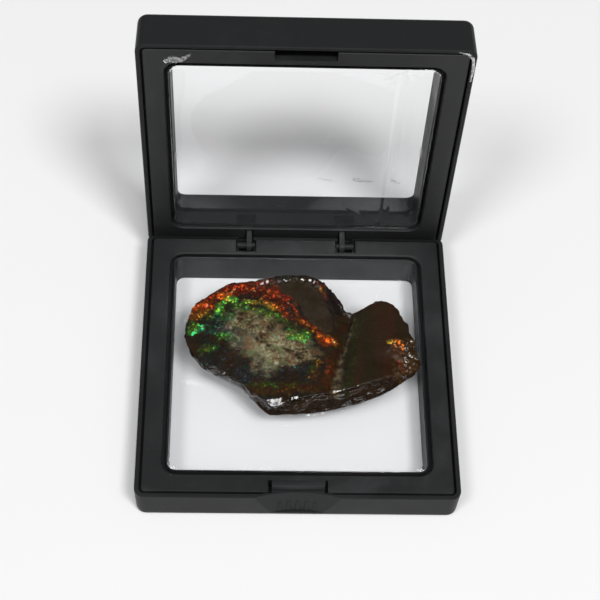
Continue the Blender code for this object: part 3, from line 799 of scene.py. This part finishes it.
def gatherFire(p):
    # hue and strength of the colour play at each point
    x = p[:, 0] + 1.05 * layeredNoise(p, 2.6, 4, 61, 0.6)
    y = p[:, 1] + 1.05 * layeredNoise(p, 2.6, 4, 67, 0.6)
    glow = np.zeros(len(p))
    hue = np.zeros(len(p))
    weight = np.full(len(p), 1e-6)
    for tone, power, width, line in fireStrokes:
        near = nearLine(x, y, line, width)
        glow = np.maximum(glow, power * near)
        hue += tone * (power * near) ** 2
        weight += (power * near) ** 2
    return hue / weight, glow


def markStone(stone, p, n, cut):
    # tell the material where each zone is
    x = p[:, 0] + 0.5 * layeredNoise(p, 2.2, 3, 71)
    y = p[:, 1] + 0.5 * layeredNoise(p, 2.2, 3, 73)
    top = ease(n[:, 2], 0.30, 0.62) * ease(p[:, 2], 2.2, 2.9)
    hue, glow = gatherFire(p)
    chalk = 0.80 * inPatch(x, y, chalkPatch, -1.0, 3.0)
    chalk += 0.28 * inPatch(x, y, chalkHeart, -1.8, 2.4)
    rust = np.maximum(inPatch(x, y, rustRight, -0.6, 0.9), inPatch(x, y, rustLow, -0.6, 0.9))
    wide = 0.40 + 0.50 * ease(-y, 1.0, 10.0) + 0.25 * layeredNoise(p, 1.6, 2, 79)
    pale = nearLine(x, y, seamPale, np.maximum(wide, 0.15)) * (0.45 + 0.55 * ease(-y, -3.0, 7.0))
    marks = {
        "face": top,
        "cut": cut,
        "crust": inPatch(x, y, crustEnd, -0.3, 0.7),
        "fireHue": hue,
        "fireGlow": top * glow,
        "chalk": top * chalk,
        "bare": top * inPatch(x, y, barePlate, -0.35, 0.25),
        "facet": top * inPatch(x, y, darkFacet, -0.3, 0.2),
        "rust": top * rust,
        "seamPale": top * pale,
        "seamGreen": top * nearLine(x, y, seamGreen, 1.0),
        "lobe": top * ease(pastSeam(x, y), 1.0, 3.4),
    }
    for name, values in marks.items():
        keepNumbers(stone.data, name, values)


stoneLook = {
    "matrix": [(0.30, (0.0075, 0.0045, 0.0035)), (0.48, (0.0150, 0.0085, 0.0045)),
               (0.66, (0.0270, 0.0140, 0.0060))],
    "night": ((0.0085, 0.0080, 0.0080), (0.0120, 0.0165, 0.0100)),  # blackish blue and green shine
    "plate": ((0.0115, 0.0064, 0.0020), (0.0235, 0.0138, 0.0044)),
    "facet": (0.0085, 0.0050, 0.0045),
    "rust": ((0.0300, 0.0085, 0.0022), (0.0220, 0.0135, 0.0020)),
    "lobe": ((0.0225, 0.0074, 0.0022), (0.0122, 0.0078, 0.0020)),
    "chalk": [(0.30, (0.012, 0.009, 0.005)), (0.42, (0.046, 0.031, 0.014)), (0.52, (0.118, 0.091, 0.042)),
              (0.60, (0.180, 0.148, 0.076)), (0.70, (0.280, 0.245, 0.150)), (0.82, (0.330, 0.330, 0.250))],
    "chalkGreen": (0.075, 0.098, 0.040),
    "chalkRust": (0.130, 0.060, 0.026),
    "chalkBlue": (0.150, 0.150, 0.095),
    "seamPale": (0.150, 0.110, 0.062),
    "seamGreen": ((0.0150, 0.0135, 0.0050), (0.0210, 0.0290, 0.0080)),
    "resin": [(0.34, (0.008, 0.004, 0.0015)), (0.50, (0.030, 0.014, 0.004)), (0.66, (0.095, 0.048, 0.015))],
    "underglow": [(0.00, (0.030, 0.004, 0.003)), (0.10, (0.052, 0.008, 0.003)),
                  (0.25, (0.085, 0.024, 0.004)), (0.40, (0.062, 0.034, 0.006)),
                  (0.52, (0.042, 0.046, 0.008)), (0.64, (0.022, 0.044, 0.009)),
                  (0.76, (0.012, 0.026, 0.014)), (0.88, (0.010, 0.012, 0.011)),
                  (1.00, (0.018, 0.009, 0.014))],
    "fire": [(0.00, (0.28, 0.010, 0.010)), (0.10, (0.62, 0.045, 0.012)), (0.20, (1.0, 0.16, 0.014)),
             (0.31, (1.0, 0.36, 0.03)), (0.42, (0.86, 0.60, 0.06)), (0.52, (0.42, 0.80, 0.05)),
             (0.63, (0.08, 0.85, 0.07)), (0.74, (0.05, 0.72, 0.34)), (0.86, (0.04, 0.12, 0.17)),
             (1.00, (0.26, 0.08, 0.24))],
    "paintedGlint": 0.62,  # how pale the brightest grains are painted, as painted highlights
    # tone of the painted highlights on the brightest grains
    "paintedGlintTone": (1.0, 0.72, 0.34),
    "grainWarp": 0.0007,  # how far the grains are bent out of shape, in metres
    "gloss": (0.14, 0.62),  # roughness of the glossy and the dull parts
    "freshGloss": 0.13,
    "bump": 0.00008,
    "bend": 1.42,
    "wornMirror": 0.24,  # the worn face mirrors less than the fresh breaks
    "freshMirror": 0.5,
}


def stoneNoises(tree, where):
    # a few noises drive all parts of the stone's colour
    noises = {
        "slow": noiseOf(tree, where, 170.0, 4.0, 0.55, 0.6),
        "mid": noiseOf(tree, where, 720.0, 4.0, 0.6, 0.5),
        "fine": noiseOf(tree, where, 2600.0, 4.0, 0.65),
    }
    noises["mottle"] = shareOut(tree, noiseOf(tree, where, 400.0, 4.0, 0.62), 0.62,
                                noiseOf(tree, where, 1500.0, 3.0, 0.6), 0.38)
    return noises


def matrixColour(tree, where, noises):
    # dark matrix, with a blackish shine over the quiet parts of the face
    look = stoneLook
    mid, fine = noises["mid"], noises["fine"]
    tone = rampOf(tree, shareOut(tree, noises["slow"], 0.6, fine, 0.4), look["matrix"])
    night = blend(tree, spread(tree, mid, 0.46, 0.62), *look["night"])
    quiet = spread(tree, noiseOf(tree, where, 230.0, 3.0), 0.42, 0.60)
    quiet = times(tree, quiet, markOf(tree, "face"))
    tone = blend(tree, times(tree, quiet, 0.85), tone, night)
    # upright streaks on the right lobe
    streaks = stretchOf(tree, where, (0.0, 0.0, -0.12), (1.0, 0.10, 1.0))
    stripe = spread(tree, noiseOf(tree, streaks, 240.0, 4.0, 0.6), 0.40, 0.60)
    tone = blend(tree, markOf(tree, "lobe"), tone, blend(tree, stripe, *look["lobe"]))
    rust = blend(tree, spread(tree, mid, 0.42, 0.58), *look["rust"])
    rustShare = times(tree, markOf(tree, "rust"), spread(tree, fine, 0.35, 0.6, 0.25, 0.95))
    tone = blend(tree, rustShare, tone, rust)
    green = blend(tree, spread(tree, mid, 0.50, 0.66), *look["seamGreen"])
    tone = blend(tree, times(tree, markOf(tree, "seamGreen"), 0.9), tone, green)
    pale = times(tree, markOf(tree, "seamPale"), spread(tree, mid, 0.40, 0.66, 0.05, 0.95))
    return blend(tree, pale, tone, look["seamPale"])


def chalkColour(tree, where, noises):
    # weathered middle: pale flecks on brown, greenish and rusty in places; the tone and its share
    look = stoneLook
    mottle = noises["mottle"]
    chalk = markOf(tree, "chalk")
    flecks = plus(tree, spread(tree, mottle, 0.34, 0.66, 0.09, 0.81), times(tree, chalk, 0.08))
    tone = rampOf(tree, flecks, look["chalk"])
    tone = blend(tree, spread(tree, noises["slow"], 0.50, 0.64, 0.0, 0.5), tone, look["chalkBlue"])
    greenish = spread(tree, noiseOf(tree, where, 380.0, 3.0, 0.6), 0.50, 0.64, 0.0, 0.8)
    tone = blend(tree, greenish, tone, look["chalkGreen"])
    rusty = spread(tree, noiseOf(tree, where, 480.0, 3.0, 0.6, 0.5), 0.52, 0.64, 0.0, 0.8)
    tone = blend(tree, rusty, tone, look["chalkRust"])
    wisps = stretchOf(tree, where, (0.0, 0.0, 0.75), (0.6, 1.3, 1.0))
    cloud = noiseOf(tree, wisps, 300.0, 5.0, 0.66, 1.2)
    ragged = plus(tree, chalk, times(tree, mathOf(tree, "SUBTRACT", mottle, 0.5), 1.5))
    ragged = plus(tree, ragged, times(tree, mathOf(tree, "SUBTRACT", cloud, 0.5), 2.4))
    return tone, times(tree, spread(tree, ragged, 0.10, 1.05), spread(tree, chalk, 0.0, 0.4))


def fireColour(tree, where, noises, tone):
    # play of colour: a deep glow with bright grains in it; the tone, the flashes and the grains' relief
    look = stoneLook
    warp = addNode(tree, "TexNoise", {"Vector": where, "Scale": 900.0, "Detail": 2.0}).outputs["Color"]
    bent = addNode(tree, "VectorMath", {0: warp, 1: (look["grainWarp"],) * 3, 2: where},
                   operation="MULTIPLY_ADD").outputs[0]
    distance, small = grainsOf(tree, bent, 2100.0)
    large = grainsOf(tree, bent, 850.0)[1]
    hue = plus(tree, markOf(tree, "fireHue"), spread(tree, small[0], 0, 1, -0.07, 0.07))
    hue = plus(tree, hue, spread(tree, large[1], 0, 1, -0.06, 0.06))
    gaps = spread(tree, noiseOf(tree, where, 560.0, 4.0, 0.62, 0.8), 0.36, 0.58, 0.30, 1.45)
    glow = times(tree, markOf(tree, "fireGlow"), gaps)
    underShare = times(tree, spread(tree, glow, 0.05, 0.55, smooth=True),
                       spread(tree, noises["mid"], 0.32, 0.62, 0.45, 1.0))
    tone = blend(tree, underShare, tone, rampOf(tree, hue, look["underglow"]))
    grains = plus(tree, times(tree, spread(tree, small[1], 0.70, 0.97, smooth=True), 1.35), 0.10)
    clumps = plus(tree, times(tree, mathOf(tree, "POWER", large[0], 2.0), 1.5), 0.25)
    flash = times(tree, times(tree, grains, clumps), spread(tree, noises["fine"], 0.30, 0.62, 0.4, 1.2))
    flash = times(tree, flash, mathOf(tree, "POWER", glow, 1.5), clamp=True)
    # painted highlights: rare grains turned pale, more so where the colour play is strong
    paintedGlint = times(tree, spread(tree, small[2], 0.88, 0.96, 0.0, look["paintedGlint"]), glow)
    fire = blend(tree, paintedGlint, rampOf(tree, hue, look["fire"]), look["paintedGlintTone"])
    return blend(tree, flash, tone, fire), flash, distance


def makeStoneMaterial(name, mirror):
    look = stoneLook
    mat, tree, shader = startMaterial(name)
    where = placeOf(tree)
    noises = stoneNoises(tree, where)
    mid, fine = noises["mid"], noises["fine"]
    face, crust, cut = [markOf(tree, mark) for mark in ("face", "crust", "cut")]
    tone = matrixColour(tree, where, noises)
    chalkTone, chalkShare = chalkColour(tree, where, noises)
    tone = blend(tree, chalkShare, tone, chalkTone)
    tone, flash, grains = fireColour(tree, where, noises, tone)
    # bare plate and facet
    mixed = shareOut(tree, noises["slow"], 0.6, mid, 0.4)
    plate = blend(tree, spread(tree, mixed, 0.40, 0.60), *look["plate"])
    bare = markOf(tree, "bare")
    ragged = plus(tree, bare, mathOf(tree, "SUBTRACT", noises["mottle"], 0.5), clamp=True)
    bare = times(tree, spread(tree, ragged, 0.25, 0.6, smooth=True), spread(tree, bare, 0.0, 0.3))
    tone = blend(tree, bare, tone, plate)
    tone = blend(tree, times(tree, markOf(tree, "facet"), 0.8), tone, look["facet"])
    # honey-brown crust
    resin = rampOf(tree, shareOut(tree, fine, 0.5, mid, 0.5), look["resin"])
    crustShare = times(tree, crust, mathOf(tree, "SUBTRACT", 1.0, flash), clamp=True)
    tone = blend(tree, times(tree, crustShare, 0.85), tone, resin)
    # glossy fire and walls, dull chalk, plate and lobe
    dull = mathOf(tree, "MAXIMUM", chalkShare, times(tree, bare, 0.75))
    dull = mathOf(tree, "MAXIMUM", dull, times(tree, markOf(tree, "lobe"), 0.6))
    gloss = spread(tree, dull, 0.0, 1.0, *look["gloss"])
    gloss = plus(tree, gloss, spread(tree, mid, 0.3, 0.7, -0.05, 0.08))
    uncut = mathOf(tree, "SUBTRACT", 1.0, cut)
    gloss = plus(tree, times(tree, gloss, uncut), times(tree, cut, look["freshGloss"]))
    calm = times(tree, mathOf(tree, "SUBTRACT", 1.0, crust), face)
    height = plus(tree, fine, times(tree, grains, calm))
    setInputs(tree, shader, {
        "Base Color": tone,
        "Roughness": gloss,
        "Normal": bumpOf(tree, height, look["bump"], times(tree, uncut, 0.5)),
        "IOR": look["bend"],
        "Specular IOR Level": mirror,
    })
    return mat


def shareFresh(stone, n, cut):
    # the walls, breaks and crust take the second material
    fresh = np.maximum(cut, 1 - ease(n[:, 2], 0.30, 0.62)) > 0.5
    picks = [int(np.mean(fresh[list(face.vertices)]) > 0.5) for face in stone.data.polygons]
    stone.data.polygons.foreach_set("material_index", picks)


stone = settleStone()
stonePoints, stoneNormals, stoneCut = carveStone(stone)
markStone(stone, stonePoints, stoneNormals, stoneCut)
stone.data.materials.clear()
stone.data.materials.append(makeStoneMaterial("ammolite_worn_face", stoneLook["wornMirror"]))
stone.data.materials.append(makeStoneMaterial("ammolite_fresh_breaks", stoneLook["freshMirror"]))
shareFresh(stone, stoneNormals, stoneCut)
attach(stone, "base")
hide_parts("ammolite")
print("ammolite ready:", len(stone.data.vertices), "points")


# films over both windows

def filmHeights(x, y, seed, folds, foot):
    # height of the film over its window, mm, before it wraps the lip
    flat = np.stack([x, y, np.zeros(len(x))], 1)
    z = filmLook["waves"] * layeredNoise(flat, 11.0, 2, seed)
    for cx, cy in ((1, 1), (1, -1), (-1, 1), (-1, -1)):
        dx = boxSize["film"] - x * cx
        dy = boxSize["film"] - y * cy
        reach = np.hypot(dx, dy)
        turn = np.arctan2(dy, dx)
        ripple = np.sin(turn * 13 + smoothNoise(flat, 2.0, seed + cx + 2 * cy) * 2.4)
        z += filmLook["pucker"] * ripple * np.exp(-((reach - 2.6) / 1.7) ** 2)
    for points, width, height in folds:
        ragged = 0.75 + 0.5 * smoothNoise(flat, 1.1, seed + 40)
        z += height * ragged * nearLine(x, y, points, width)
    if foot is not None:
        gap = patchGap(x, y, foot)
        cling = filmLook["skirt"] * (0.9 + 0.25 * smoothNoise(flat, 2.0, seed + 50))
        z += cling * np.exp(-np.maximum(gap, 0) / filmLook["skirtReach"]) * ease(gap, -1.0, -0.2)
        crumpled = filmLook["skirtCrumple"] * smoothNoise(flat, 0.55, seed + 51)
        z += crumpled * np.exp(-((gap - 0.2) / 0.35) ** 2)
    return z


def crumpleMarks(x, y, crumples):
    # how high and how hazy the crumpled spots are
    high = np.zeros(len(x))
    haze = np.zeros(len(x))
    for line, radius, rise, dull in crumples:
        near = nearLine(x, y, line, radius)
        high = np.maximum(high, near * rise)
        haze = np.maximum(haze, near * dull)
    return high, haze


def addScrap(bm, scrap, seed):
    # a thin crumpled strip of film that sticks out from under the frame
    line, widths, level, rise = scrap
    line = np.array(line, float)
    far = np.concatenate([[0], np.cumsum(np.hypot(*np.diff(line, axis=0).T))])
    at = np.linspace(0, far[-1], max(int(far[-1] / 0.25), 3))
    middle = np.stack([np.interp(at, far, line[:, k]) for k in (0, 1)], 1)
    run = np.gradient(middle, axis=0)
    side = np.stack([-run[:, 1], run[:, 0]], 1) / np.hypot(*run.T)[:, None]
    wide = np.interp(at, np.linspace(0, far[-1], len(widths)), widths)
    wide = wide * (1 + 0.3 * smoothNoise(np.c_[middle, middle[:, 0]], 0.7, seed))  # ragged edges
    rows = []
    heights = []
    for across in np.linspace(-1, 1, 7):
        spots = middle + side * (wide * across)[:, None]
        flat = np.c_[spots, np.zeros(len(spots))]
        heights += list(level + rise * smoothNoise(flat, 0.6, seed + 1))
        rows.append([bm.verts.new((*spot, 0)) for spot in spots])
    for row, after in zip(rows[:-1], rows[1:]):
        for k in range(len(row) - 1):
            bm.faces.new((row[k + 1], row[k], after[k], after[k + 1]))
    return heights


def filmRim(x, y):
    # 0 at the film's rounded rim, negative inside
    corner = filmLook["corner"]
    inner = boxSize["lipOut"] - corner
    return np.hypot(np.maximum(np.abs(x) - inner, 0), np.maximum(np.abs(y) - inner, 0)) - corner


def filmGrid(crumples, foot):
    # finer where the film is crumpled or clings to the stone, and cut round at its corners
    steps = filmLook["steps"]
    bm = bmesh.new()
    bmesh.ops.create_grid(bm, x_segments=steps, y_segments=steps, size=boxSize["lipOut"])
    spots = np.array([v.co[:2] for v in bm.verts]).T
    close = crumpleMarks(*spots, crumples)[0] > filmLook["fineAbove"]
    if foot is not None:
        close |= np.abs(patchGap(*spots, foot) - 0.2) < filmLook["skirtBand"]
    edges = [e for e in bm.edges if close[e.verts[0].index] and close[e.verts[1].index]]
    bmesh.ops.subdivide_edges(bm, edges=edges, cuts=1, use_grid_fill=True)
    gone = filmRim(*np.array([v.co[:2] for v in bm.verts]).T) > 0.06
    bmesh.ops.delete(bm, geom=[v for v, out in zip(bm.verts[:], gone) if out], context="VERTS")
    bm.verts.ensure_lookup_table()
    return bm


def twoSkins(bm, levels, up):
    # both sides of the film, and the narrow wall round its edges
    bm.verts.index_update()
    outer = [(v.co.x, v.co.y, -up * level) for v, level in zip(bm.verts, levels)]
    inner = [(x, y, z + up * filmLook["thick"]) for x, y, z in outer]
    count = len(outer)
    sheet = [[v.index for v in face.verts] for face in bm.faces]
    if up > 0:
        sheet = [face[::-1] for face in sheet]
    faces = sheet + [[i + count for i in face[::-1]] for face in sheet]
    ways = {(a, b) for face in sheet for a, b in zip(face, face[1:] + face[:1])}
    for edge in bm.edges:
        if edge.is_boundary:
            a, b = edge.verts[0].index, edge.verts[1].index
            a, b = (a, b) if (a, b) in ways else (b, a)
            faces.append((b, a, a + count, b + count))
    return outer + inner, faces


def makeFilm(name, node, body, place, up, seed, folds, crumples, scraps=(), foot=None):
    # up is 1 where the film's outer side faces the box frame's -Z
    bm = filmGrid(crumples, foot)
    x, y = np.array([v.co[:2] for v in bm.verts]).T
    edge = filmRim(x, y)
    high, haze = crumpleMarks(x, y, crumples)
    z = filmHeights(x, y, seed, folds, foot)
    z += high * smoothNoise(np.stack([x, y, 0 * x], 1), 0.62, seed + 80)
    # the film lies a little behind the mating plane, and dips further at its rim
    z = z * ease(-edge, 0.1, 0.9) - filmLook["behind"] - filmLook["dip"] * (1 - ease(-edge, 0.35, 0.95))
    levels = list(z)
    for k, scrap in enumerate(scraps):
        levels += addScrap(bm, scrap, seed + 100 + k)
    verts, faces = twoSkins(bm, levels, up)
    bm.free()
    obj = placeMesh(name, verts, faces, place)
    obj.data.materials.append(clearFilm)
    if foot is not None:
        haze = np.maximum(haze, 1 - ease(np.abs(patchGap(x, y, foot) - 0.3), 0.5, 1.4))
    haze = np.concatenate([haze, np.full(len(levels) - len(x), filmLook["scrapHaze"])])
    keepNumbers(obj.data, "haze", np.tile(haze, 2))
    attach(obj, body)
    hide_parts(node)
    print(name, "triangles:", sum(len(face) - 2 for face in faces))


# folds: line, width and height
baseFolds = [
    ([(-22.9, 17.2), (-25.0, 12.0), (-27.6, 5.2)], 0.30, 0.10),
    ([(-4.0, -17.2), (1.0, -16.6)], 0.25, 0.08),
    ([(-19.6, -6.2), (-18.3, -7.4), (-14.3, -10.3), (-12.2, -13.0), (-10.9, -15.3)], 0.25, 0.10),
]
# crumpled spots: line, radius, height and how hazy
baseCrumples = [
    ([(24.6, 23.4), (26.2, 25.2)], 0.60, 0.34, 0.5),
    ([(-22.9, 17.2), (-25.0, 12.0), (-27.4, 5.6)], 0.45, 0.07, 1.5),
    ([(22.2, -14.8), (24.4, -12.4)], 0.9, 0.26, 0.7),
    ([(-3.8, -17.2), (-0.8, -16.8)], 0.6, 0.22, 0.6),
    ([(18.6, -26.4), (24.6, -26.6)], 0.6, 0.09, 0.5),
    ([(-26.8, -26.6), (-25.6, -27.0)], 0.5, 0.12, 0.5),
]
lidFolds = [
    ([(-24.0, 25.0), (-18.0, 17.0)], 0.35, 0.05),
    ([(19.0, 19.0), (25.0, 25.5)], 0.30, 0.07),
]
lidCrumples = [
    ([(-27.4, 26.0), (-26.2, 27.4)], 0.55, 0.16, 0.3),
    ([(27.4, 26.0), (26.2, 27.4)], 0.55, 0.16, 0.3),
    ([(12.8, 9.2), (16.0, 10.2)], 0.9, 0.05, 2.6),
    ([(21.2, 9.6), (22.4, 10.6)], 0.7, 0.05, 2.4),
    ([(4.6, -3.2), (6.4, -5.8)], 0.3, 0.06, 1.5),
    ([(-25.0, -4.0), (-20.0, 3.0)], 1.3, 0.015, 1.6),
    ([(-19.0, 1.0), (-16.4, 7.4)], 0.9, 0.02, 1.6),
]
# strips of spare film: line, half widths along it, level and how crumpled
lidScraps = [
    ([(31.0, -34.6), (33.0, -34.1), (34.2, -32.6), (34.55, -29.5), (34.45, -25.4)],
     (0.25, 0.38, 0.40, 0.35, 0.15), 0.05, 0.05),
    ([(-29.1, -29.8), (-27.6, -30.8), (-25.8, -30.4), (-23.6, -32.4)], (0.5, 0.9, 0.7, 0.2), -0.03, 0.06),
]
foot = footOf(stonePoints)
makeFilm("lower_film", "base_film", "base", baseFrame, -1, 3, baseFolds, baseCrumples, foot=foot)
makeFilm("upper_film", "lid_film", "lid", lidFrame, 1, 9, lidFolds, lidCrumples, lidScraps)
print("films ready")
